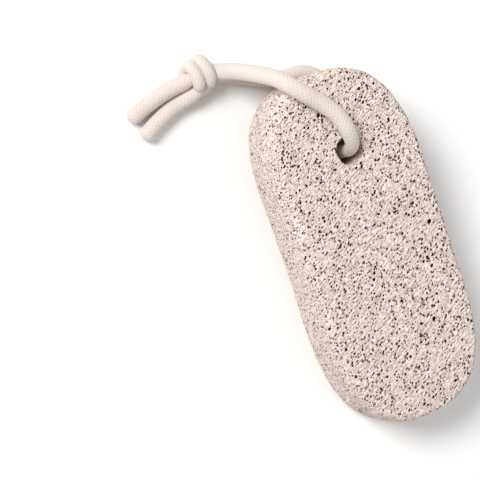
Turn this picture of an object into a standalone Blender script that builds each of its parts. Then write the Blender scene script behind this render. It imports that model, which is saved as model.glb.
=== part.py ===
"""A pumice stone for the bath, lying on its back with the head propped on its own hanging cord.

The stone is one rounded slab with a hole near its head. A single soft cord passes through the hole,
both strands are tied together in one knot, and two short tails are left beyond it.

Frame: +X right, +Y towards the head, +Z up, and the floor at z = 0. The origin is on the floor, under
the middle of the stone's bounding box. Lengths are in metres.
"""

import math

import bmesh
import bpy
import numpy as np
from mathutils import Matrix, Vector

MM = 0.001

# Stone
STONE_LENGTH = 98.5 * MM
STONE_WIDTH = 50.6 * MM  # of the outline before its waist is drawn in
STONE_THICKNESS = 18.8 * MM
WAIST = 0.143  # share of the width that the sides are drawn in by at mid length
BOW = 0.42 * MM  # how far mid length is pushed to +X
SKEW = 0.9 * MM  # how far the ends' right corners are pushed to +Y and their left ones to -Y
CORNER_FULLNESS = {"head_right": 2.45, "head_left": 2.95, "foot_left": 2.44, "foot_right": 2.64}
EDGE_RADIUS = 1.6 * MM
OUTLINE_POINTS = 64

# Hole for the cord
HOLE_RADIUS = 3.7 * MM
HOLE_X = 1.2 * MM
HOLE_Y = 26.7 * MM
HOLE_MOUTH = 0.7 * MM  # how far each worn mouth flares

# Gas bubbles cut open at the surface; finer ones belong to the finish
BUBBLE_SEED = 11
BUBBLE_CELL = 6.9 * MM
BUBBLE_RADII = (0.55 * MM, 1.0 * MM)
BUBBLE_SINK = 0.15  # depth of a bubble's centre under the surface, as a share of its radius
BUBBLE_MARGIN = 1.6 * MM  # plain stone kept at the slab's edges and round the hole

# How the stone lies: foot edge on the floor, head on the cord
TILT = math.radians(3.5)
REST_HEIGHT = 12.295 * MM  # of the slab's middle point above the floor
REST_X = -0.24 * MM

# Cord
CORD_DIAMETER = 4.5 * MM
CORD_SIDES_RESOLUTION = 2
CORD_STEP = 2.4 * MM

# Route of the cord from the knot over the stone, down the hole, under the head and back to the knot
LOOP_ROUTE_MM = [
    (-20.4, 57.9, 7.0),
    (-17.6, 56.7, 9.6),
    (-15.6, 54.9, 14.2),
    (-14.0, 53.0, 19.0),
    (-12.4, 50.8, 23.6),
    (-10.5, 47.8, 26.6),
    (-8.1, 44.8, 27.5),
    (-5.4, 42.0, 27.4),
    (-2.9, 39.2, 27.4),
    (-0.8, 35.9, 27.5),
    (0.7, 31.4, 27.0),
    (1.6, 27.8, 24.6),
    (1.9, 26.1, 20.7),
    (1.6, 26.1, 15.6),
    (0.8, 25.8, 10.5),
    (0.9, 27.1, 5.5),
    (2.2, 29.9, 2.6),
    (5.0, 34.2, 2.35),
    (8.4, 38.7, 2.4),
    (9.7, 43.6, 2.4),
    (7.8, 48.0, 2.4),
    (3.6, 50.4, 2.4),
    (-1.8, 50.8, 2.4),
    (-6.6, 51.9, 2.4),
    (-12.4, 54.4, 2.4),
    (-18.8, 57.1, 2.4),
]
TAIL_ROUTES_MM = {
    "tail_upper": [(-31.0, 58.4, 5.0), (-35.5, 57.8, 3.7), (-41.6, 56.1, 2.5), (-48.0, 53.8, 2.35)],
    "tail_lower": [
        (-29.3, 54.5, 3.6), (-33.6, 53.4, 2.4), (-37.9, 51.9, 2.35), (-41.9, 50.1, 2.35), (-45.9, 47.8, 2.35),
    ],
}

# Knot
KNOT_CENTRE = (-25.6 * MM, 58.8 * MM, 4.8 * MM)
KNOT_SIZE = (9.6 * MM, 11.6 * MM, 9.2 * MM)
KNOT_TURN = math.radians(24)


def clear_scene():
    for old in list(bpy.data.objects):
        bpy.data.objects.remove(old, do_unlink=True)


def new_collection(name):
    collection = bpy.data.collections.new(name)
    bpy.context.scene.collection.children.link(collection)
    return collection


def principled(name, colour, roughness):
    material = bpy.data.materials.new(name)
    material.use_nodes = True
    shader = material.node_tree.nodes["Principled BSDF"]
    shader.inputs["Base Color"].default_value = (*colour, 1.0)
    shader.inputs["Roughness"].default_value = roughness
    shader.inputs["Metallic"].default_value = 0.0
    return material


def add_mesh_object(name, mesh, collection, material=None):
    obj = bpy.data.objects.new(name, mesh)
    collection.objects.link(obj)
    if material:
        mesh.materials.append(material)
    return obj


def corner_exponent(across, along):
    """Superellipse exponent towards one direction, eased from corner to corner."""
    right = 0.5 + 0.5 * np.tanh(2.5 * across)
    head = 0.5 + 0.5 * np.tanh(2.5 * along)
    at_head = right * CORNER_FULLNESS["head_right"] + (1 - right) * CORNER_FULLNESS["head_left"]
    at_foot = right * CORNER_FULLNESS["foot_right"] + (1 - right) * CORNER_FULLNESS["foot_left"]
    return head * at_head + (1 - head) * at_foot


def stone_outline(angles):
    """Plan outline of the slab: a superellipse with a waist, a slight bow and a slight skew."""
    across, along = np.cos(angles), np.sin(angles)
    power = corner_exponent(across, along)
    reach = (np.abs(across) ** power + np.abs(along) ** power) ** (-1 / power)
    x = 0.5 * STONE_WIDTH * reach * across
    y = 0.5 * STONE_LENGTH * reach * along
    middle = 1 - (2 * y / STONE_LENGTH) ** 2
    x = x * (1 - WAIST * middle**2) + BOW * middle
    y = y + SKEW * (2 * x / STONE_WIDTH) * (1 - middle)
    return np.column_stack([x, y])


def even_angles(count):
    """Angles that space the outline's points evenly along it."""
    fine = np.linspace(0, 2 * math.pi, 2001)
    points = stone_outline(fine)
    run = np.concatenate([[0], np.cumsum(np.linalg.norm(np.diff(points, axis=0), axis=1))])
    return np.interp(np.arange(count) / count * run[-1], run, fine)


def slab_mesh():
    """The plain slab: the outline as one face, extruded through the thickness."""
    bm = bmesh.new()
    bmesh.ops.create_circle(bm, cap_ends=True, segments=OUTLINE_POINTS, radius=1.0)
    bm.verts.ensure_lookup_table()
    for vert, point in zip(bm.verts, stone_outline(even_angles(OUTLINE_POINTS))):
        vert.co = (point[0], point[1], -0.5 * STONE_THICKNESS)
    raised = bmesh.ops.extrude_face_region(bm, geom=list(bm.faces))
    top = [item for item in raised["geom"] if isinstance(item, bmesh.types.BMVert)]
    bmesh.ops.translate(bm, verts=top, vec=(0, 0, STONE_THICKNESS))
    bmesh.ops.recalc_face_normals(bm, faces=bm.faces)
    mesh = bpy.data.meshes.new("stone")
    bm.to_mesh(mesh)
    bm.free()
    return mesh


def hole_cutter_mesh():
    """A cylinder through the slab with a flared mouth at each end."""
    half, lead = 0.5 * STONE_THICKNESS, 1.0 * MM
    outer = HOLE_RADIUS + HOLE_MOUTH
    profile = [(0, half + lead), (outer, half + lead), (outer, half), (HOLE_RADIUS, half - HOLE_MOUTH)]
    profile += [(radius, -height) for radius, height in reversed(profile)]
    bm = bmesh.new()
    verts = [bm.verts.new((radius, 0, height)) for radius, height in profile]
    edges = [bm.edges.new(pair) for pair in zip(verts, verts[1:])]
    bmesh.ops.spin(
        bm, geom=verts + edges, cent=(0, 0, 0), axis=(0, 0, 1), angle=2 * math.pi, steps=24, use_merge=True
    )
    bmesh.ops.remove_doubles(bm, verts=bm.verts, dist=1e-6)
    bmesh.ops.translate(bm, verts=bm.verts, vec=(HOLE_X, HOLE_Y, 0))
    bmesh.ops.recalc_face_normals(bm, faces=bm.faces)
    mesh = bpy.data.meshes.new("hole_cutter")
    bm.to_mesh(mesh)
    bm.free()
    return mesh


def face_bubbles(rng, side):
    """Bubble centres and radii on one broad face, one in each cell of a jittered grid."""
    found = []
    for x in np.arange(-0.5 * STONE_WIDTH, 0.5 * STONE_WIDTH, BUBBLE_CELL):
        for y in np.arange(-0.5 * STONE_LENGTH, 0.5 * STONE_LENGTH, BUBBLE_CELL):
            px, py = np.array([x, y]) + BUBBLE_CELL * rng.uniform(0.25, 0.75, 2)
            radius = rng.uniform(*BUBBLE_RADII)
            rim = stone_outline(np.array([math.atan2(py / STONE_LENGTH, px / STONE_WIDTH)]))[0]
            inside = math.hypot(*rim) - math.hypot(px, py) > EDGE_RADIUS + BUBBLE_MARGIN + radius
            off_hole = math.hypot(px - HOLE_X, py - HOLE_Y) > HOLE_RADIUS + HOLE_MOUTH + BUBBLE_MARGIN + radius
            if inside and off_hole:
                height = side * (0.5 * STONE_THICKNESS - BUBBLE_SINK * radius)
                found.append((Vector((px, py, height)), radius))
    return found


def side_bubbles(rng):
    """Bubble centres and radii round the side, two staggered rows."""
    count = int(5.2 * 0.5 * STONE_LENGTH / BUBBLE_CELL)
    points = stone_outline(even_angles(2 * count))
    found = []
    for i, point in enumerate(points):
        before, after = points[i - 1], points[(i + 1) % len(points)]
        out = Vector((after[1] - before[1], before[0] - after[0])).normalized()
        radius = rng.uniform(*BUBBLE_RADII)
        depth = BUBBLE_SINK * radius
        row = 0.17 * STONE_THICKNESS * (1 if i % 2 else -1)
        height = row + rng.uniform(-0.08, 0.08) * STONE_THICKNESS
        found.append((Vector((point[0] - out.x * depth, point[1] - out.y * depth, height)), radius))
    return found


def bubble_cutter_mesh():
    rng = np.random.default_rng(BUBBLE_SEED)
    bm = bmesh.new()
    for centre, radius in face_bubbles(rng, 1) + face_bubbles(rng, -1) + side_bubbles(rng):
        turn = Matrix.Rotation(rng.uniform(0, math.pi), 4, "Z") @ Matrix.Rotation(rng.uniform(0, math.pi), 4, "X")
        placing = Matrix.Translation(centre) @ turn
        bmesh.ops.create_icosphere(bm, subdivisions=1, radius=radius, matrix=placing)
    mesh = bpy.data.meshes.new("bubble_cutter")
    bm.to_mesh(mesh)
    bm.free()
    return mesh


def cut(target, cutter):
    modifier = target.modifiers.new(cutter.name, "BOOLEAN")
    modifier.operation = "DIFFERENCE"
    modifier.object = cutter
    cutter.hide_render = True
    cutter.display_type = "WIRE"


def build_stone(parts, cutters):
    finish = principled("pumice", (0.80, 0.71, 0.64), 0.95)
    stone = add_mesh_object("stone", slab_mesh(), parts, finish)
    bevel = stone.modifiers.new("worn_edges", "BEVEL")
    bevel.width = EDGE_RADIUS
    bevel.segments = 3
    bevel.limit_method = "ANGLE"
    bevel.angle_limit = math.radians(60)
    hole = add_mesh_object("hole_cutter", hole_cutter_mesh(), cutters)
    bubbles = add_mesh_object("bubble_cutter", bubble_cutter_mesh(), cutters)
    placing = Matrix.Translation((REST_X, 0, REST_HEIGHT)) @ Matrix.Rotation(TILT, 4, "X")
    for obj in (stone, hole, bubbles):
        obj.matrix_world = placing
    cut(stone, hole)
    cut(stone, bubbles)
    return stone


def smooth_route(route_mm, step):
    """Points every step along a centripetal Catmull-Rom curve through the route's own points."""
    knots = [Vector(point) * MM for point in route_mm]
    knots = [2 * knots[0] - knots[1]] + knots + [2 * knots[-1] - knots[-2]]
    fine = []
    for a, b, c, d in zip(knots, knots[1:], knots[2:], knots[3:]):
        t1 = (b - a).length ** 0.5
        t2 = t1 + (c - b).length ** 0.5
        t3 = t2 + (d - c).length ** 0.5
        for t in np.linspace(t1, t2, 24, endpoint=False):
            ab, bc, cd = a.lerp(b, t / t1), b.lerp(c, (t - t1) / (t2 - t1)), c.lerp(d, (t - t2) / (t3 - t2))
            abc, bcd = ab.lerp(bc, t / t2), bc.lerp(cd, (t - t1) / (t3 - t1))
            fine.append(abc.lerp(bcd, (t - t1) / (t2 - t1)))
    fine = np.array([list(point) for point in fine] + [list(knots[-2])])
    run = np.concatenate([[0], np.cumsum(np.linalg.norm(np.diff(fine, axis=0), axis=1))])
    stops = np.linspace(0, run[-1], max(2, round(run[-1] / step)) + 1)
    return np.column_stack([np.interp(stops, run, fine[:, axis]) for axis in range(3)])


def build_tube(name, route_mm, parts, finish):
    points = smooth_route(route_mm, CORD_STEP)
    curve = bpy.data.curves.new(name, "CURVE")
    curve.dimensions = "3D"
    curve.bevel_depth = 0.5 * CORD_DIAMETER
    curve.bevel_resolution = CORD_SIDES_RESOLUTION
    curve.use_fill_caps = True
    spline = curve.splines.new("POLY")
    spline.points.add(len(points) - 1)
    for target, point in zip(spline.points, points):
        target.co = (*point, 1.0)
    curve.materials.append(finish)
    obj = bpy.data.objects.new(name, curve)
    parts.objects.link(obj)
    return obj


def build_knot(parts, finish):
    bm = bmesh.new()
    bmesh.ops.create_icosphere(bm, subdivisions=2, radius=0.5)
    bmesh.ops.scale(bm, verts=bm.verts, vec=KNOT_SIZE)
    mesh = bpy.data.meshes.new("knot")
    bm.to_mesh(mesh)
    bm.free()
    mesh.shade_smooth()
    knot = add_mesh_object("knot", mesh, parts, finish)
    knot.location = KNOT_CENTRE
    knot.rotation_euler = (0, 0, KNOT_TURN)
    return knot


def build_cord(parts):
    finish = principled("cotton_cord", (0.88, 0.83, 0.77), 0.9)
    build_tube("cord", LOOP_ROUTE_MM, parts, finish)
    build_knot(parts, finish)
    for name, route in TAIL_ROUTES_MM.items():
        build_tube(name, route, parts, finish)


def main():
    clear_scene()
    parts = new_collection("pumice_stone")
    cutters = new_collection("cutters")
    build_stone(parts, cutters)
    build_cord(parts)


main()
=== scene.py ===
import itertools
import math

import bpy
import numpy as np
from mathutils import Matrix, Vector


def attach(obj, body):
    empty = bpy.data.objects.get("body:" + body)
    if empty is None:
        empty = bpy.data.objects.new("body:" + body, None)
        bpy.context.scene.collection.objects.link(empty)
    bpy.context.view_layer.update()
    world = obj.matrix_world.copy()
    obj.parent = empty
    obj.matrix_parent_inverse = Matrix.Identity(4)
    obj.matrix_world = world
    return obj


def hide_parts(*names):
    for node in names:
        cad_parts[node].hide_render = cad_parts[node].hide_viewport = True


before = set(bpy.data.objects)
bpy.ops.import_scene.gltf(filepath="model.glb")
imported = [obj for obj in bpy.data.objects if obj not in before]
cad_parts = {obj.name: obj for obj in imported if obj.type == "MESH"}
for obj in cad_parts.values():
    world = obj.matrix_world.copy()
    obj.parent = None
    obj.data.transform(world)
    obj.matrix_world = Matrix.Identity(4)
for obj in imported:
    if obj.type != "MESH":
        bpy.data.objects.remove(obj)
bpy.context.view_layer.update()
print("frame loaded")

mm = 0.001


def hexToLinear(text):
    # an sRGB hex value as linear red, green, blue and alpha
    value = np.array([int(text[i:i + 2], 16) for i in (1, 3, 5)]) / 255
    linear = np.where(value <= 0.04045, value / 12.92, ((value + 0.055) / 1.055) ** 2.4)
    return (*[float(x) for x in linear], 1.0)


def addNode(tree, kind, inputs=None, **settings):
    # one node: its settings, and for each input a fixed value or another node's output to link to it
    node = tree.nodes.new(kind)
    for name, value in settings.items():
        setattr(node, name, value)
    for name, value in (inputs or {}).items():
        if isinstance(value, bpy.types.NodeSocket):
            tree.links.new(value, node.inputs[name])
        else:
            node.inputs[name].default_value = value
    return node


def newMaterial(name):
    # a new material with its node tree and its shader
    material = bpy.data.materials.new(name)
    material.use_nodes = True
    return material, material.node_tree, material.node_tree.nodes["Principled BSDF"]


def addMesh(name, points, faces, material):
    # points in millimetres, faces as index arrays of three or four columns
    mesh = bpy.data.meshes.new(name)
    corners = np.concatenate([part.ravel() for part in faces])
    sizes = np.concatenate([np.full(len(part), part.shape[1]) for part in faces])
    starts = np.concatenate([[0], np.cumsum(sizes)[:-1]])
    mesh.vertices.add(len(points))
    mesh.vertices.foreach_set("co", (points * mm).astype(np.float32).ravel())
    mesh.loops.add(len(corners))
    mesh.loops.foreach_set("vertex_index", corners.astype(np.int32))
    mesh.polygons.add(len(sizes))
    mesh.polygons.foreach_set("loop_start", starts.astype(np.int32))
    mesh.update(calc_edges=True)
    mesh.validate()
    mesh.materials.append(material)
    piece = bpy.data.objects.new(name, mesh)
    bpy.context.scene.collection.objects.link(piece)
    return piece


# camera: looks down on the stone from its left

view = {
    "position": (-0.21312, 0.04303, 0.51727),
    "look": (0.33490, -0.05503, -0.94064),
    "up": (0.33409, 0.94037, 0.06393),
    "lens": 150.0,
}


def addCamera():
    # its three axes from where it looks and what is up; it looks down its own -Z axis
    camera = bpy.data.objects.new("camera", bpy.data.cameras.new("camera"))
    camera.data.lens = view["lens"]
    camera.data.sensor_width = 36.0
    camera.data.clip_start, camera.data.clip_end = 0.01, 10.0
    back = -Vector(view["look"]).normalized()
    right = Vector(view["up"]).cross(back).normalized()
    turn = Matrix((right, back.cross(right), back)).transposed()
    camera.matrix_world = Matrix.Translation(view["position"]) @ turn.to_4x4()
    bpy.context.scene.collection.objects.link(camera)
    bpy.context.scene.camera = camera


addCamera()
print("camera placed")

# cord: one soft braided cord through the hole, both strands tied in one knot

cord = {
    "radius": 2.25,
    "endRound": 1.4,  # length over which a cut end is drawn in
    "endTaper": 0.8,  # share of its section that it loses by the very end
    "endBulge": 0.5,  # how far the middle of a cut end stands out
    "spanSteps": 24,  # steps between two points of its route, before they are spaced evenly
    "ringStep": 0.25,
    "sides": 48,
    "carriers": 8,  # threads that wind each way round the braid
    "braidLead": 9.2,  # length of one thread's full turn
    "braidHeight": 0.08,
    "loopRoute": [
        (-20.4, 57.9, 7.0), (-17.6, 56.7, 9.6), (-15.6, 54.9, 14.2), (-14.0, 53.0, 19.0),
        (-12.4, 50.8, 23.6), (-10.5, 47.8, 26.6), (-8.1, 44.8, 27.5), (-5.4, 42.0, 27.4),
        (-2.9, 39.2, 27.4), (-0.8, 35.9, 27.5), (0.7, 31.4, 27.0), (1.6, 27.8, 24.6),
        (1.9, 26.1, 20.7), (1.6, 26.1, 15.6), (0.8, 25.8, 10.5), (0.9, 27.1, 5.5), (2.2, 29.9, 2.6),
        (5.0, 34.2, 2.35), (8.4, 38.7, 2.4), (9.7, 43.6, 2.4), (7.8, 48.0, 2.4), (3.6, 50.4, 2.4),
        (-1.8, 50.8, 2.4), (-6.6, 51.9, 2.4), (-12.4, 54.4, 2.4), (-18.8, 57.1, 2.4),
    ],
    # its radius at the route's points, by their number, and even between them
    "loopRadius": [
        (0, 2.35), (8, 2.35), (10, 2.25), (11, 2.0), (12, 1.85), (14, 1.85), (16, 2.1), (18, 2.22),
    ],
    "pressed": (0.4, 0.9, 0.0),  # share of the lost radius that the squeezed cord is pushed aside
    "upperTail": [(-31.0, 58.4, 5.0), (-35.5, 57.8, 3.7), (-41.6, 56.1, 2.5), (-48.0, 53.8, 2.35)],
    "lowerTail": [
        (-29.3, 54.5, 3.6), (-33.6, 53.4, 2.4), (-37.9, 51.9, 2.35), (-41.9, 50.1, 2.35),
        (-45.9, 47.8, 2.35),
    ],
    # knot: its centre, how its axis is turned, and how much it is pressed flat
    "knotCentre": (-25.6, 58.8, 4.9),
    "knotTurn": 3.0,
    "knotFlat": 0.84,
    # windings from the loop's side to the tails': along the axis, off it, angle round it, cord radius
    "frontWinding": [
        (3.0, 1.4, 80, 1.7), (0.6, 0.9, 60, 1.4), (-2.2, 1.4, -10, 1.4), (-2.2, 2.6, -60, 1.5),
        (-0.6, 3.4, -40, 1.6), (0.4, 3.8, -8, 1.75), (0.9, 4.0, 25, 1.85), (1.1, 3.95, 60, 1.9),
        (1.3, 3.8, 95, 1.9), (1.4, 3.5, 130, 1.8), (1.4, 2.8, 165, 1.65), (0.9, 1.6, 200, 1.45),
        (-0.8, 1.0, 150, 1.4), (-2.8, 0.9, 100, 1.8),
    ],
    "rearWinding": [
        (3.0, 1.7, -80, 1.6), (0.2, 1.2, -60, 1.4), (-3.0, 1.5, -70, 1.4), (-3.6, 2.6, -50, 1.5),
        (-3.0, 3.3, -15, 1.65), (-2.4, 3.6, 25, 1.75), (-2.1, 3.7, 60, 1.8), (-2.0, 3.7, 95, 1.8),
        (-2.0, 3.5, 130, 1.75), (-1.9, 2.8, 165, 1.6), (-1.0, 1.4, 215, 1.45), (1.2, 1.6, -110, 1.45),
        (2.4, 2.7, 220, 1.5), (0.8, 3.5, 192, 1.65), (-1.6, 3.7, 186, 1.8),
    ],
}


def knotPoints(winding):
    # turns (along, off, angle, radius) into places in the frame, with the radius as a fourth column
    along, off, angle, radius = np.array(winding, float).T
    angle = np.radians(angle)
    turn = math.radians(cord["knotTurn"])
    side, up = off * np.cos(angle), off * np.sin(angle) * cord["knotFlat"]
    x = along * math.cos(turn) - side * math.sin(turn)
    y = along * math.sin(turn) + side * math.cos(turn)
    return np.column_stack([np.column_stack([x, y, up]) + cord["knotCentre"], radius])


def routePoints(route):
    # the route with the cord's radius as a fourth column
    return np.column_stack([np.array(route, float), np.full(len(route), cord["radius"])])


def squeezed(points):
    # full over the face, squeezed thin in the hole and pressed there against its head side
    number, radius = np.array(cord["loopRadius"]).T
    radius = np.interp(np.arange(len(points)), number, radius)
    lost = np.clip(cord["radius"] - radius, 0, None)[:, None]
    return np.column_stack([points[:, :3] + lost * cord["pressed"], radius])


def smoothRoute(points, step):
    # centripetal Catmull-Rom curve through the points, resampled at even steps of length
    ends = 2 * points[[0, -1]] - points[[1, -2]]
    knots = np.vstack([ends[:1], points, ends[1:]])
    gaps = np.maximum(np.linalg.norm(np.diff(knots[:, :3], axis=0), axis=1), 1e-6) ** 0.5
    a, b, c, d = knots[:-3], knots[1:-2], knots[2:-1], knots[3:]
    g1, g2, g3 = (gaps[i:len(gaps) - 2 + i, None, None] for i in range(3))
    t = np.linspace(0, 1, cord["spanSteps"], endpoint=False)[None, :, None]
    a, b, c, d = (q[:, None, :] for q in (a, b, c, d))
    ab = b + (b - a) * (g2 * t) / g1
    bc = b + (c - b) * t
    cd = c + (d - c) * (g2 * t - g2) / g3
    abc = ab * (g2 - g2 * t) / (g1 + g2) + bc * (g1 + g2 * t) / (g1 + g2)
    bcd = bc * (g2 + g3 - g2 * t) / (g2 + g3) + cd * (g2 * t) / (g2 + g3)
    curve = (abc * (1 - t) + bcd * t).reshape(-1, points.shape[1])
    curve = np.vstack([curve, points[-1:]])
    run = np.concatenate([[0], np.cumsum(np.linalg.norm(np.diff(curve[:, :3], axis=0), axis=1))])
    stops = np.linspace(0, run[-1], round(run[-1] / step) + 1)
    return np.column_stack([np.interp(stops, run, column) for column in curve.T]), stops


def carriedFrames(centres):
    # two unit vectors across the path at each ring, turned as little as possible from ring to ring
    tangents = np.gradient(centres, axis=0)
    tangents /= np.linalg.norm(tangents, axis=1)[:, None]
    side = np.cross(tangents[0], (0, 0, 1))
    sides = []
    for tangent in tangents:
        side = side - tangent * (side @ tangent)
        side /= np.linalg.norm(side)
        sides.append(side)
    sides = np.array(sides)
    return tangents, sides, np.cross(tangents, sides)


def braidRelief(angle, run):
    # two families of threads wind opposite ways round the cord: a thread stands highest along its middle,
    # and the two families pass over each other in turn, like the squares of a chessboard
    n, pitch = cord["carriers"], 2 * np.pi / cord["braidLead"]
    left, right = np.sin(n * (angle + pitch * run) / 2), np.sin(n * (angle - pitch * run) / 2)
    leftRidge = np.abs(left) * (0.5 + 0.5 * np.abs(right))
    rightRidge = np.abs(right) * (0.5 + 0.5 * np.abs(left))
    return np.where(left * right > 0, leftRidge, rightRidge)


def addCord(material):
    # circle of a varying radius carried along the route, raised where a thread of the braid passes over
    centrePoints = np.vstack([
        routePoints(cord["upperTail"])[::-1], knotPoints(cord["frontWinding"])[::-1],
        squeezed(routePoints(cord["loopRoute"])),
        knotPoints(cord["rearWinding"]), routePoints(cord["lowerTail"]),
    ])
    rings, run = smoothRoute(centrePoints, cord["ringStep"])
    centres, radii = rings[:, :3], rings[:, 3]
    fromEnd = np.minimum(run, run[-1] - run)
    drawnIn = np.clip(1 - fromEnd / cord["endRound"], 0, 1)
    radii = radii * np.sqrt(1 - cord["endTaper"] * drawnIn ** 2)
    tangents, sides, tops = carriedFrames(centres)
    angles = np.arange(cord["sides"]) / cord["sides"] * 2 * np.pi
    braid = braidRelief(angles[None, :], run[:, None])
    relief = cord["braidHeight"] * (braid - 1)
    reach = radii[:, None] + relief
    grid = centres[:, None] + reach[..., None] * (
        np.cos(angles)[None, :, None] * sides[:, None] + np.sin(angles)[None, :, None] * tops[:, None])
    count, sidesCount = grid.shape[:2]
    first = np.arange(count * sidesCount).reshape(count, sidesCount)
    nextAround = np.roll(first, -1, axis=1)
    walls = np.stack([first[:-1], nextAround[:-1], nextAround[1:], first[1:]], -1).reshape(-1, 4)
    bulge = cord["endBulge"]
    poles = np.array([centres[0] - bulge * tangents[0], centres[-1] + bulge * tangents[-1]])
    startPole, endPole = count * sidesCount, count * sidesCount + 1
    startCap = np.column_stack([nextAround[0], first[0], np.full(sidesCount, startPole)])
    endCap = np.column_stack([first[-1], nextAround[-1], np.full(sidesCount, endPole)])
    points = np.vstack([grid.reshape(-1, 3), poles])
    piece = addMesh("cotton_cord", points, [walls, startCap, endCap], material)
    around = np.concatenate([np.tile(np.arange(sidesCount) / sidesCount, count), [0, 0]])
    along = np.concatenate([np.repeat(run, sidesCount), [run[0], run[-1]]]) / (2 * np.pi * cord["radius"])
    addCordUv(piece.data, around, along)
    height = np.concatenate([braid.ravel(), [0.5, 0.5]]).astype(np.float32)
    piece.data.attributes.new("threadHeight", "FLOAT", "POINT").data.foreach_set("value", height)
    piece.data.shade_smooth()
    return piece, centres, run


def addCordUv(mesh, around, along):
    # u once round the cord, v along it in the same measure; the seam's far corners get u = 1
    corners = np.empty(len(mesh.loops), np.int32)
    mesh.loops.foreach_get("vertex_index", corners)
    u, v = around[corners].copy(), along[corners]
    starts = np.empty(len(mesh.polygons), np.int32)
    sizes = np.empty(len(mesh.polygons), np.int32)
    mesh.polygons.foreach_get("loop_start", starts)
    mesh.polygons.foreach_get("loop_total", sizes)
    face = np.repeat(np.arange(len(sizes)), sizes)
    highest = np.zeros(len(sizes))
    np.maximum.at(highest, face, u)
    u[(u < 0.25) & (highest[face] > 0.75)] += 1
    layer = mesh.uv_layers.new(name="around_along")
    layer.data.foreach_set("uv", np.column_stack([u, v]).astype(np.float32).ravel())


cotton = {
    "high": "#DED4CE",  # where a thread lies on top
    "low": "#D3C7BE",  # painted shade in the valleys between threads
    "fibre": 0.22,  # millimetres between tufts of fibre; single fibres, 0.02, are too fine to show
    "fibreShare": 0.5,  # of a thread's height
    "valley": 0.25,  # height up to which it has the low colour, the painted shade, where a thread's top is 1
    "relief": 0.12,  # depth of the weave in the finish, in millimetres
}


def cottonMaterial():
    # unbleached cotton, braided and washed soft: matt cream with a faint halo of fibres, and greyer
    # between its threads as painted shade
    material, tree, shader = newMaterial("braided_cotton")
    shader.inputs["Roughness"].default_value = 0.95
    shader.inputs["Specular IOR Level"].default_value = 0.2
    shader.inputs["Sheen Weight"].default_value = 0.15
    shader.inputs["Sheen Roughness"].default_value = 0.6
    thread = addNode(tree, "ShaderNodeAttribute", attribute_name="threadHeight")
    place = addNode(tree, "ShaderNodeTexCoord")
    perTurn = 2 * math.pi * cord["radius"] / cotton["fibre"]  # tufts in one unit of the cord's UV map
    tufts = addNode(tree, "ShaderNodeTexNoise", {
        "Vector": place.outputs["UV"], "Scale": perTurn, "Detail": 2.0})
    height = addNode(tree, "ShaderNodeMath", {
        0: tufts.outputs["Fac"], 1: cotton["fibreShare"], 2: thread.outputs["Fac"],
    }, operation="MULTIPLY_ADD")
    # painted shade: the colour runs from low, grey in the weave's valleys, to high on the threads' tops
    share = addNode(tree, "ShaderNodeMapRange", {
        "Value": height.outputs[0], "From Min": cotton["valley"], "From Max": 1.0})
    colours = addNode(tree, "ShaderNodeValToRGB", {"Fac": share.outputs[0]})
    for element, shade in zip(colours.color_ramp.elements, ("low", "high")):
        element.color = hexToLinear(cotton[shade])
    relief = addNode(tree, "ShaderNodeBump", {
        "Height": height.outputs[0], "Strength": 0.7, "Distance": cotton["relief"] * mm})
    tree.links.new(colours.outputs[0], shader.inputs["Base Color"])
    tree.links.new(relief.outputs[0], shader.inputs["Normal"])
    return material


cordPiece, cordLine, cordRun = addCord(cottonMaterial())
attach(cordPiece, "root")
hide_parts("cord", "knot", "tail_upper", "tail_lower")
print("cord made,", round(float(cordRun[-1]), 1), "mm long,", len(cordPiece.data.polygons), "faces")

# stone: a slab of pumice sawn to shape and tumbled, its gas bubbles cut open all over

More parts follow.
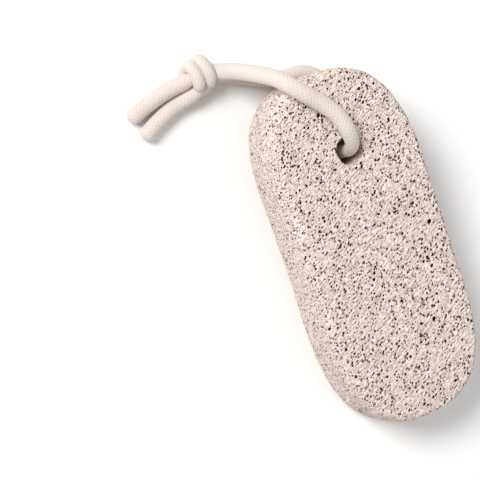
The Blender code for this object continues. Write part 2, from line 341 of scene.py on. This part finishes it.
stone = {
    "length": 98.5,
    "width": 50.6,  # of the outline before its waist is drawn in
    "thickness": 18.8,
    "waist": 0.143,  # share of the width that the waist is drawn in
    "bow": 0.42,  # how far the middle stands over to the right
    "skew": 0.9,  # how much further towards the head the right side lies, at the ends
    # power of the superellipse at each corner: 2 is an ellipse's, and a higher one is squarer
    "fullness": {"headRight": 2.45, "headLeft": 2.95, "footLeft": 2.44, "footRight": 2.64},
    "cornerEase": 2.5,  # how soon one corner's power gives way to the next one's
    "edgeRadius": 1.6,
    "tilt": 3.5,  # degrees that the cord under it lifts the head
    "rest": (-0.24, 0.0, 12.295),  # where the slab's middle lies
    "holeAt": (1.2, 26.7),
    "holeRadius": 3.7,
    "mouth": 0.7,  # radius of the hole's worn edge
    "cells": (152, 304),  # of the upper face, across and along; the back has half as many
    "holeCells": 14,  # half the width of the block of cells whose place the hole takes
    "holeEase": 2.2,  # how far past that block the cells are bent, in its half widths
    "insetPower": 8,  # the higher, the nearer to the rim a face's grid is drawn in
    "rowStep": 0.5,  # height of a row of cells round the side
    "roundRows": (7, 3),  # rows of cells round the curve of the edge, and of the hole's worn edge
    "froth": [  # spacing of the bubbles, their smallest and largest radius, and the deepest open pit
        (1.06, 0.17, 0.37, 0.6),
        (5.2, 0.32, 0.52, 0.9),
    ],
    "frothMargin": 0.12,  # how near its cell's wall a bubble's middle may lie, as a share of the cell
    "mostlySmall": 1.5,  # power of a bubble's random size: the higher, the fewer large ones
    "drift": 49.0,  # the bubbles are drawn out at this angle to the width, in degrees
    "stretch": (0.7, 1.0, 1.0),  # under 1, drawn out along that axis, after the turn
    "sideFineness": 0.55,  # size of the bubbles round the side against those on the faces
    "sizeDrift": (7.0, 0.15),  # over what distance, and by what share, the bubbles' size changes
    "worn": 0.12,  # taken off all over
    "lumps": [(0.6, 0.08), (1.5, 0.13), (4.0, 0.13)],  # how far apart and how high or low
    "rubbed": (0.25, 1.0),  # how much the edges are rubbed off, right and left
    "rubbedReach": 2.6,  # how far from the edge
    "fade": (0.4, 6.0),  # width over which a face takes on its bubbles, by the right edge and the left
    "leftEase": 8.0,  # half the width over which the left side's wear gives way to the right's
    "faceSlope": (0.2, 0.6),  # upward share of the normal where a face's look starts, and over how much
    "bareRim": 0.25,  # how much of a face's look its very edge has
    "sideLook": (0.1, 0.25, 9.0),  # the same for the side: at its edges, more half way up, and how high
    "seeds": {"size": 5, "lumps": 7, "froth": 20},
}


def stoneOutline(angle):
    # superellipse whose power eases from corner to corner, drawn in at the waist, bowed and skewed
    across, along = np.cos(angle), np.sin(angle)
    full, ease = stone["fullness"], stone["cornerEase"]
    right, head = 0.5 + 0.5 * np.tanh(ease * across), 0.5 + 0.5 * np.tanh(ease * along)
    power = head * (right * full["headRight"] + (1 - right) * full["headLeft"])
    power += (1 - head) * (right * full["footRight"] + (1 - right) * full["footLeft"])
    reach = (np.abs(across) ** power + np.abs(along) ** power) ** (-1 / power)
    x, y = stone["width"] / 2 * reach * across, stone["length"] / 2 * reach * along
    middle = 1 - (2 * y / stone["length"]) ** 2
    x = x * (1 - stone["waist"] * middle ** 2) + stone["bow"] * middle
    return np.stack([x, y + stone["skew"] * 2 * x / stone["width"] * (1 - middle)], -1)


def outlineNormal(angle):
    # unit vector out of the outline: a short step along it, turned by a right angle
    ahead = stoneOutline(angle + 1e-4) - stoneOutline(angle - 1e-4)
    normal = np.stack([ahead[..., 1], -ahead[..., 0]], -1)
    return normal / np.linalg.norm(normal, axis=-1, keepdims=True)


def facePlan(cells):
    # rings of a square grid laid on shrunken copies of the outline, evenly spaced round each ring; the
    # outermost is drawn in by the edge's radius, and those inside it by less and less
    i, j = np.meshgrid(np.arange(cells[0] + 1), np.arange(cells[1] + 1), indexing="ij")
    u, v = 2 * i / cells[0] - 1, 2 * j / cells[1] - 1
    size = np.maximum(np.maximum(np.abs(u), np.abs(v)), 1e-9)
    angle = np.arctan2(np.tan(np.pi / 4 * v / size), u / size)
    inset = stone["edgeRadius"] * size ** stone["insetPower"]
    return size[..., None] * stoneOutline(angle) - inset[..., None] * outlineNormal(angle), angle


def roundTheHole(plan, centre, half, radius):
    # bends the grid so that a square block of cells round the centre node becomes a disc
    i, j = np.indices(plan.shape[:2])
    i, j = i - centre[0], j - centre[1]
    ring = np.maximum(np.abs(i), np.abs(j))
    share = np.minimum(np.abs(i), np.abs(j)) / np.maximum(ring, 1)
    steep = np.abs(j) > np.abs(i)
    turn = np.where(steep, np.pi / 2 - np.pi / 4 * share, np.pi / 4 * share)
    outward = np.stack([np.sign(i + 1e-9) * np.cos(turn), np.sign(j + 1e-9) * np.sin(turn)], -1)
    disc = (ring / half * radius)[..., None] * outward
    pull = np.clip((ring / half - 1) / stone["holeEase"], 0, 1)
    pull = (1 - pull * pull * (3 - 2 * pull))[..., None]
    return plan * (1 - pull) + (disc + stone["holeAt"]) * pull


def loopRound(nodes, low, high):
    # the nodes round a block of the grid, anticlockwise from its lower left corner
    (i0, j0), (i1, j1) = low, high
    return np.concatenate([nodes[i0:i1, j0], nodes[i1, j0:j1], nodes[i1:i0:-1, j1], nodes[i0, j1:j0:-1]])


def ringBand(loops):
    # quads between neighbouring loops of the same count; a loop of half the count gets triangles
    quads, triangles = [], []
    for above, below in zip(loops, loops[1:]):
        if len(above) == len(below):
            quads.append(np.column_stack([above, below, np.roll(below, -1), np.roll(above, -1)]))
            continue
        fine, coarse = above.reshape(-1, 2), below
        nextFine, nextCoarse = np.roll(fine[:, 0], -1), np.roll(coarse, -1)
        triangles += [np.column_stack([fine[:, 0], coarse, fine[:, 1]]),
                      np.column_stack([fine[:, 1], coarse, nextCoarse]),
                      np.column_stack([fine[:, 1], nextCoarse, nextFine])]
    return quads, triangles


def stoneShell():
    # both faces, the side between them and the wall of the hole, as one closed surface
    half, edge, mouth = stone["thickness"] / 2, stone["edgeRadius"], stone["mouth"]
    holeAt, radius, block = np.array(stone["holeAt"]), stone["holeRadius"], stone["holeCells"]
    cells, (edgeRows, mouthRows) = np.array(stone["cells"]), stone["roundRows"]
    plan, angle = facePlan(cells)
    away = np.linalg.norm(plan[::2, ::2] - holeAt, axis=-1)
    centre = 2 * np.array(np.unravel_index(away.argmin(), away.shape))
    blocks = []

    def put(xy, z):
        # adds points at one height and gives back their numbers in the same layout
        first = sum(len(old) for old in blocks)
        flat = xy.reshape(-1, 2)
        blocks.append(np.column_stack([flat, np.full(len(flat), z)]))
        return np.arange(first, first + len(flat)).reshape(xy.shape[:-1])

    quads, triangles, rims, holes = [], [], [], []
    for side, share in ((1, 1), (-1, 2)):
        size, middle, reach = cells // share, centre // share, block // share
        flat, _ = facePlan(size)
        nodes = put(roundTheHole(flat, middle, reach, radius + mouth), side * half)
        square = np.stack([nodes[:-1, :-1], nodes[1:, :-1], nodes[1:, 1:], nodes[:-1, 1:]], -1)
        solid = np.ones(size, bool)
        solid[middle[0] - reach:middle[0] + reach, middle[1] - reach:middle[1] + reach] = False
        quads.append(square[solid][:, ::side])
        rims.append(loopRound(nodes, (0, 0), size))
        holes.append(loopRound(nodes, middle - reach, middle + reach))
    points = np.concatenate(blocks)
    rimAngle = loopRound(angle, (0, 0), cells)
    toHole = points[holes[0], :2] - holeAt
    holeAngle = np.arctan2(toHole[:, 1], toHole[:, 0])

    def rows(arc, arcRows):
        # how far in from the side, and how high, from just under the upper face to just over the lower
        bend = np.linspace(0, np.pi / 2, arcRows + 1)[1:]
        inward, high = arc * (1 - np.sin(bend)), half - arc * (1 - np.cos(bend))
        straightRows = round(2 * (half - arc) / stone["rowStep"])
        between = np.linspace(half - arc, arc - half, straightRows + 1)[1:-1]
        return (np.concatenate([inward, 0 * between, inward[::-1]]),
                np.concatenate([high, between, -high[::-1]]))

    loops = [rims[0]]
    for inward, z in list(zip(*rows(edge, edgeRows)))[:-1]:
        at = rimAngle[::1 if z > 0 else 2]
        loops.append(put(stoneOutline(at) - inward * outlineNormal(at), z))
    wall = [holes[0]]
    for inward, z in list(zip(*rows(mouth, mouthRows)))[:-1]:
        at = holeAngle[::1 if z > 0 else 2]
        wall.append(put(holeAt + (radius + inward) * np.column_stack([np.cos(at), np.sin(at)]), z))
    for band in (loops + [rims[1]], [np.roll(loop[::-1], 1) for loop in wall + [holes[1]]]):
        moreQuads, moreTriangles = ringBand(band)
        quads += moreQuads
        triangles += moreTriangles
    points = np.concatenate(blocks)
    quads, triangles = np.concatenate(quads), np.concatenate(triangles)
    used, number = np.unique(np.concatenate([quads.ravel(), triangles.ravel()]), return_inverse=True)
    return points[used], number[:quads.size].reshape(-1, 4), number[quads.size:].reshape(-1, 3)


def openBubbles(points, normals, size, layer, seed):
    # one bubble at a random place in each cell of a 3-D lattice: where the stone's surface cuts through
    # one, the surface drops to that bubble's far wall. Also gives the distance to the nearest one's wall
    spacing, smallest, largest, deepest = layer
    margin, power = stone["frothMargin"], stone["mostlySmall"]
    drift = math.radians(stone["drift"])
    cosine, sine = math.cos(drift), math.sin(drift)
    axes = np.array([[cosine, sine, 0], [-sine, cosine, 0], [0, 0, 1]])
    axes = axes * np.array(stone["stretch"])[:, None] / spacing
    at, inward = points @ axes.T, normals @ axes.T
    low = np.floor(at.min(axis=0)).astype(int) - 1
    cell = np.floor(at).astype(int) - low
    froth = np.random.default_rng(seed).random((*(cell.max(axis=0) + 2), 4))
    depth, wall = np.zeros(len(points)), np.full(len(points), spacing)
    steep = (inward ** 2).sum(axis=1)
    for step in itertools.product((-1, 0, 1), repeat=3):
        near = cell + step
        bubble = froth[tuple(near.T)]
        radius = size * (smallest + (largest - smallest) * bubble[:, 3] ** power) / spacing
        gap = at - (near + low + margin + (1 - 2 * margin) * bubble[:, :3])
        along, square = (gap * inward).sum(axis=1), (gap ** 2).sum(axis=1)
        root = np.sqrt(np.maximum(along ** 2 - steep * (square - radius ** 2), 0))
        depth = np.maximum(depth, np.where(square < radius ** 2, (along + root) / steep, 0))
        wall = np.minimum(wall, (np.sqrt(square) - radius) * spacing)
    return np.minimum(depth, deepest), wall


def unevenness(points, size, seed):
    # random heights on a cubic lattice, eased between the lattice's points, from -1 to 1
    at = points / size
    low = np.floor(at.min(axis=0)).astype(int)
    cell = np.floor(at).astype(int)
    part = at - cell
    part = part * part * (3 - 2 * part)
    cell = cell - low
    lattice = np.random.default_rng(seed).uniform(-1, 1, cell.max(axis=0) + 2)
    height = np.zeros(len(points))
    for step in itertools.product((0, 1), repeat=3):
        weight = np.where(step, part, 1 - part).prod(axis=1)
        height += weight * lattice[tuple((cell + step).T)]
    return height


def inFromRim(points):
    # how far inside the outline a point lies, along the line from the middle
    rim = stoneOutline(np.linspace(-np.pi, np.pi, 721))
    reach = np.interp(np.arctan2(points[:, 1], points[:, 0]), np.arctan2(rim[:, 1], rim[:, 0]),
                      np.linalg.norm(rim, axis=1), period=2 * np.pi)
    return reach - np.linalg.norm(points[:, :2], axis=1)


def faceShare(points, normals, inside, left):
    # how much a point belongs to a face: by how level the surface is there, and less towards the rim,
    # where the worn left edge eases into the face and the right one doesn't; the side has a little too
    rimLook, (start, ease) = stone["bareRim"], stone["faceSlope"]
    fade = stone["fade"][0] + (stone["fade"][1] - stone["fade"][0]) * left
    share = np.clip((np.abs(normals[:, 2]) - start) / ease, 0, 1)
    share *= np.clip(rimLook + (1 - rimLook) * inside / fade, 0, 1)
    atEdges, halfWayUp, over = stone["sideLook"]
    return np.maximum(share, halfWayUp * np.clip(1 - np.abs(points[:, 2]) / over, 0, 1) + atEdges)


def wornOff(points, inside, left):
    # a little all over, more along the edges and most at the left one, and by uneven amounts
    fromEdge = np.maximum(inside, 0) + stone["thickness"] / 2 - np.abs(points[:, 2])
    rubbed = stone["rubbed"][0] + (stone["rubbed"][1] - stone["rubbed"][0]) * left
    worn = stone["worn"] + rubbed * np.exp(-(fromEdge / stone["rubbedReach"]) ** 2)
    for seed, (lump, height) in enumerate(stone["lumps"], stone["seeds"]["lumps"]):
        worn += height * unevenness(points, lump, seed)
    return worn


def addStone(material):
    # the shell, sunk along its normals by the depth of the bubble that it cuts and by what is worn off,
    # then tilted and put where it rests
    points, quads, triangles = stoneShell()
    piece = addMesh("pumice_stone", points, [quads, triangles], material)
    mesh = piece.data
    normals = np.empty(3 * len(points), np.float32)
    mesh.vertices.foreach_get("normal", normals)
    normals = normals.reshape(-1, 3).astype(float)
    inside = inFromRim(points)
    left = 0.5 - 0.5 * np.tanh(points[:, 0] / stone["leftEase"])  # 1 on the left side, 0 on the right
    flatness = faceShare(points, normals, inside, left)
    size = stone["sideFineness"] + (1 - stone["sideFineness"]) * flatness
    (distance, share), seeds = stone["sizeDrift"], stone["seeds"]
    size *= 1 + share * unevenness(points, distance, seeds["size"])
    depth, wall = np.zeros(len(points)), np.full(len(points), np.inf)
    for seed, layer in enumerate(stone["froth"], seeds["froth"]):
        layerDepth, layerWall = openBubbles(points, normals, size, layer, seed)
        depth, wall = np.maximum(depth, layerDepth), np.minimum(wall, layerWall)
    points = points - normals * (depth + wornOff(points, inside, left))[:, None]
    tilt = math.radians(stone["tilt"])
    cosine, sine = math.cos(tilt), math.sin(tilt)
    turn = np.array([[1, 0, 0], [0, cosine, -sine], [0, sine, cosine]])
    points = points @ turn.T + stone["rest"]
    mesh.vertices.foreach_set("co", (points * mm).astype(np.float32).ravel())
    for name, values in (("pitDepth", depth), ("pitWall", wall), ("flatness", flatness)):
        mesh.attributes.new(name, "FLOAT", "POINT").data.foreach_set("value", values.astype(np.float32))
    mesh.update()
    mesh.shade_smooth()
    return piece


pumice = {
    # from the middle of a bubble outwards, in bubble radii: painted shade inside it, a painted highlight
    # at its rim, then the stone's own tone
    "shades": [
        (0.0, "#180C06"), (0.66, "#26140B"), (0.84, "#8E6F5B"), (0.97, "#FFF6F0"), (1.2, "#FAECE4"),
        (1.6, "#EFDBD1"), (2.2, "#DDC5B9"),
    ],
    "openRadius": 0.28,  # of the bubbles that are modelled, in millimetres
    "openDepth": 0.45,  # depth from which their painted shade is as dark as it gets
    # bubbles too fine to model: how far apart, their largest radius, how near its middle's painted shade
    # the deepest one comes, in bubble radii, and how much paler they are round the side
    "fine": [
        {"spacing": 1.08, "radius": 0.42, "darkest": 0.15, "onSides": 0.1},
        # the finest that show; real ones go down to hundredths of a millimetre, so these are coarser
        {"spacing": 0.7, "radius": 0.34, "darkest": 0.28, "onSides": 0.0},
    ],
    "smallest": 0.35,  # radius of the smallest of them against the largest
    "raggedness": 0.8,  # millimetres between the bends in a bubble's outline
    "bend": 0.4,  # how far they bend it
    "ridgeSpacing": 0.6,
    "ridgeHeight": 1.5,  # against the depth of a bubble
    "ridgeDrift": 22.0,  # the ridges are drawn out at this angle to the width, in degrees
    "ridgeStretch": (0.45, 1.2, 1.0),
    # height, in the ridges' noise, of a groove's floor and of its edge, and its floor's painted shade on
    # the scale above
    "groove": (0.38, 0.56, 0.90),
    "relief": 0.8,  # depth of a bubble in the finish, in millimetres
}


def fineBubbles(tree, place, flatness, fine):
    # one layer: the distance from the middle of a cell's bubble in that bubble's radii, held up by its
    # shallowness, and paler round the side, which sets its painted shade; each cell has its own radius
    # and shallowness
    cell = addNode(tree, "ShaderNodeTexVoronoi", {
        "Vector": place, "Scale": 1 / (fine["spacing"] * mm)})
    own = addNode(tree, "ShaderNodeSeparateColor", {0: cell.outputs["Color"]})
    largest = fine["radius"] / fine["spacing"]
    radius = addNode(tree, "ShaderNodeMapRange", {
        "Value": own.outputs[0], "To Min": largest * pumice["smallest"], "To Max": largest})
    away = addNode(tree, "ShaderNodeMath", {
        0: cell.outputs["Distance"], 1: radius.outputs[0]}, operation="DIVIDE")
    chance = addNode(tree, "ShaderNodeMath", {
        0: own.outputs[1], 1: own.outputs[2]}, operation="MAXIMUM")
    shallow = addNode(tree, "ShaderNodeMapRange", {
        "Value": chance.outputs[0], "To Min": fine["darkest"]})
    held = addNode(tree, "ShaderNodeMath", {
        0: away.outputs[0], 1: shallow.outputs[0]}, operation="MAXIMUM")
    paler = addNode(tree, "ShaderNodeMapRange", {
        "Value": flatness, "To Min": fine["onSides"], "To Max": 0.0})
    return addNode(tree, "ShaderNodeMath", {
        0: held.outputs[0], 1: paler.outputs[0]}, operation="ADD")


def pumiceMaterial():
    # pumice, sawn, tumbled and dry: chalky cream-pink glass froth, matt all over, its bubbles cut open
    # with crisp pale rims that are a painted highlight, and painted shade inside them, from brown where
    # they are shallow to near black where light can't reach
    material, tree, shader = newMaterial("sawn_pumice")
    shader.inputs["Roughness"].default_value = 0.95
    shader.inputs["Specular IOR Level"].default_value = 0.2
    place = addNode(tree, "ShaderNodeTexCoord").outputs["Object"]
    # places shifted to and fro, so that the finer bubbles aren't plain rounds
    bend = pumice["bend"] * mm
    ragged = addNode(tree, "ShaderNodeTexNoise", {
        "Vector": place, "Scale": 1 / (pumice["raggedness"] * mm), "Detail": 1.0})
    offset = addNode(tree, "ShaderNodeVectorMath", {
        0: ragged.outputs["Color"], 1: (bend,) * 3, 2: (-bend / 2,) * 3}, operation="MULTIPLY_ADD")
    shifted = addNode(tree, "ShaderNodeVectorMath", {0: place, 1: offset.outputs[0]}, operation="ADD")
    turned = addNode(tree, "ShaderNodeMapping", {
        "Vector": shifted.outputs[0], "Rotation": (0, 0, -math.radians(stone["drift"]))})
    drawn = addNode(tree, "ShaderNodeMapping", {"Vector": turned.outputs[0], "Scale": stone["stretch"]})
    flatness = addNode(tree, "ShaderNodeAttribute", attribute_name="flatness").outputs["Fac"]
    pitDepth = addNode(tree, "ShaderNodeAttribute", attribute_name="pitDepth").outputs["Fac"]
    pitWall = addNode(tree, "ShaderNodeAttribute", attribute_name="pitWall").outputs["Fac"]
    # distance from the middle of the modelled bubbles in their radii, held up where they are shallow; it
    # sets their painted shade
    away = addNode(tree, "ShaderNodeMath", {
        0: pitWall, 1: 1 / pumice["openRadius"], 2: 1.0}, operation="MULTIPLY_ADD")
    shallow = addNode(tree, "ShaderNodeMath", {
        0: pitDepth, 1: -1 / pumice["openDepth"], 2: 1.0}, operation="MULTIPLY_ADD")
    fromMiddle = addNode(tree, "ShaderNodeMath", {
        0: away.outputs[0], 1: shallow.outputs[0]}, operation="MAXIMUM")
    for fine in pumice["fine"]:
        held = fineBubbles(tree, drawn.outputs[0], flatness, fine)
        fromMiddle = addNode(tree, "ShaderNodeMath", {
            0: fromMiddle.outputs[0], 1: held.outputs[0]}, operation="MINIMUM")
    # ridges and grooves between the bubbles, drawn out another way; a groove gets painted shade, grey
    # like a rim's edge
    grooveFloor, grooveEdge, floorShade = pumice["groove"]
    furthest = pumice["shades"][-1][0]
    turned = addNode(tree, "ShaderNodeMapping", {
        "Vector": shifted.outputs[0], "Rotation": (0, 0, -math.radians(pumice["ridgeDrift"]))})
    combed = addNode(tree, "ShaderNodeMapping", {
        "Vector": turned.outputs[0], "Scale": pumice["ridgeStretch"]})
    ridges = addNode(tree, "ShaderNodeTexNoise", {
        "Vector": combed.outputs[0], "Scale": 1 / (pumice["ridgeSpacing"] * mm),
        "Detail": 1.5, "Roughness": 0.6})
    groove = addNode(tree, "ShaderNodeMapRange", {
        "Value": ridges.outputs["Fac"], "From Min": grooveFloor, "From Max": grooveEdge,
        "To Min": floorShade, "To Max": furthest})
    fromMiddle = addNode(tree, "ShaderNodeMath", {
        0: fromMiddle.outputs[0], 1: groove.outputs[0]}, operation="MINIMUM")
    share = addNode(tree, "ShaderNodeMath", {
        0: fromMiddle.outputs[0], 1: 1 / furthest}, operation="MULTIPLY")
    # the base colour: painted shade in the bubbles and grooves, and painted highlights on the bubbles'
    # rims
    colours = addNode(tree, "ShaderNodeValToRGB", {"Fac": share.outputs[0]})
    ramp = colours.color_ramp
    while len(ramp.elements) < len(pumice["shades"]):
        ramp.elements.new(1.0)
    for element, (at, shade) in zip(ramp.elements, pumice["shades"]):
        element.position, element.color = at / furthest, hexToLinear(shade)
    # a bubble is a hollow up to its rim, and the ridges stand on the rest
    hollow = addNode(tree, "ShaderNodeMath", {0: fromMiddle.outputs[0], 1: 1.0}, operation="MINIMUM")
    height = addNode(tree, "ShaderNodeMath", {
        0: ridges.outputs["Fac"], 1: pumice["ridgeHeight"], 2: hollow.outputs[0],
    }, operation="MULTIPLY_ADD")
    relief = addNode(tree, "ShaderNodeBump", {
        "Height": height.outputs[0], "Strength": 1.0, "Distance": pumice["relief"] * mm})
    tree.links.new(colours.outputs[0], shader.inputs["Base Color"])
    tree.links.new(relief.outputs[0], shader.inputs["Normal"])
    return material


stonePiece = addStone(pumiceMaterial())
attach(stonePiece, "root")
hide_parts("stone")
print("stone made,", sum(len(face.vertices) - 2 for face in stonePiece.data.polygons), "triangles")

# floor and lights: a pale sheet, one broad soft light from the head's left and a weaker one opposite

studio = {
    "floorColour": "#F8F8F8",
    "floorSize": 3.0,
    "key": {"place": (-0.72, 0.62, 0.95), "size": 0.55, "power": 16.8, "colour": "#FFFDFA"},
    "fill": {"place": (0.9, -0.9, 1.2), "size": 1.2, "power": 6.5, "colour": "#FFFFFF"},
    "sky": 0.4,
}


def addFloor():
    # one square under everything, wide enough that its edges stay out of sight
    half = studio["floorSize"] / 2
    corners = [(-half, -half, 0), (half, -half, 0), (half, half, 0), (-half, half, 0)]
    mesh = bpy.data.meshes.new("floor")
    mesh.from_pydata(corners, [], [(0, 1, 2, 3)])
    # uncoated white paper: plain and matt, so the stone's shadow lies soft on it
    material, _, shader = newMaterial("white_paper")
    shader.inputs["Base Color"].default_value = hexToLinear(studio["floorColour"])
    shader.inputs["Roughness"].default_value = 0.9
    mesh.materials.append(material)
    floor = bpy.data.objects.new("floor", mesh)
    bpy.context.scene.collection.objects.link(floor)


def addLight(name):
    # a square light that faces the stone
    facts = studio[name]
    lamp = bpy.data.lights.new(name, "AREA")
    lamp.shape, lamp.size, lamp.energy = "SQUARE", facts["size"], facts["power"]
    lamp.color = hexToLinear(facts["colour"])[:3]
    light = bpy.data.objects.new(name, lamp)
    light.location = facts["place"]
    light.rotation_euler = (-Vector(facts["place"])).to_track_quat("-Z", "Y").to_euler()
    bpy.context.scene.collection.objects.link(light)


addFloor()
addLight("key")
addLight("fill")
world = bpy.data.worlds.new("studio")
world.use_nodes = True
world.node_tree.nodes["Background"].inputs["Color"].default_value = (1, 1, 1, 1)
world.node_tree.nodes["Background"].inputs["Strength"].default_value = studio["sky"]
bpy.context.scene.world = world
bpy.context.scene.view_settings.view_transform = "Standard"  # colours show as their own hex values
print("studio lit")
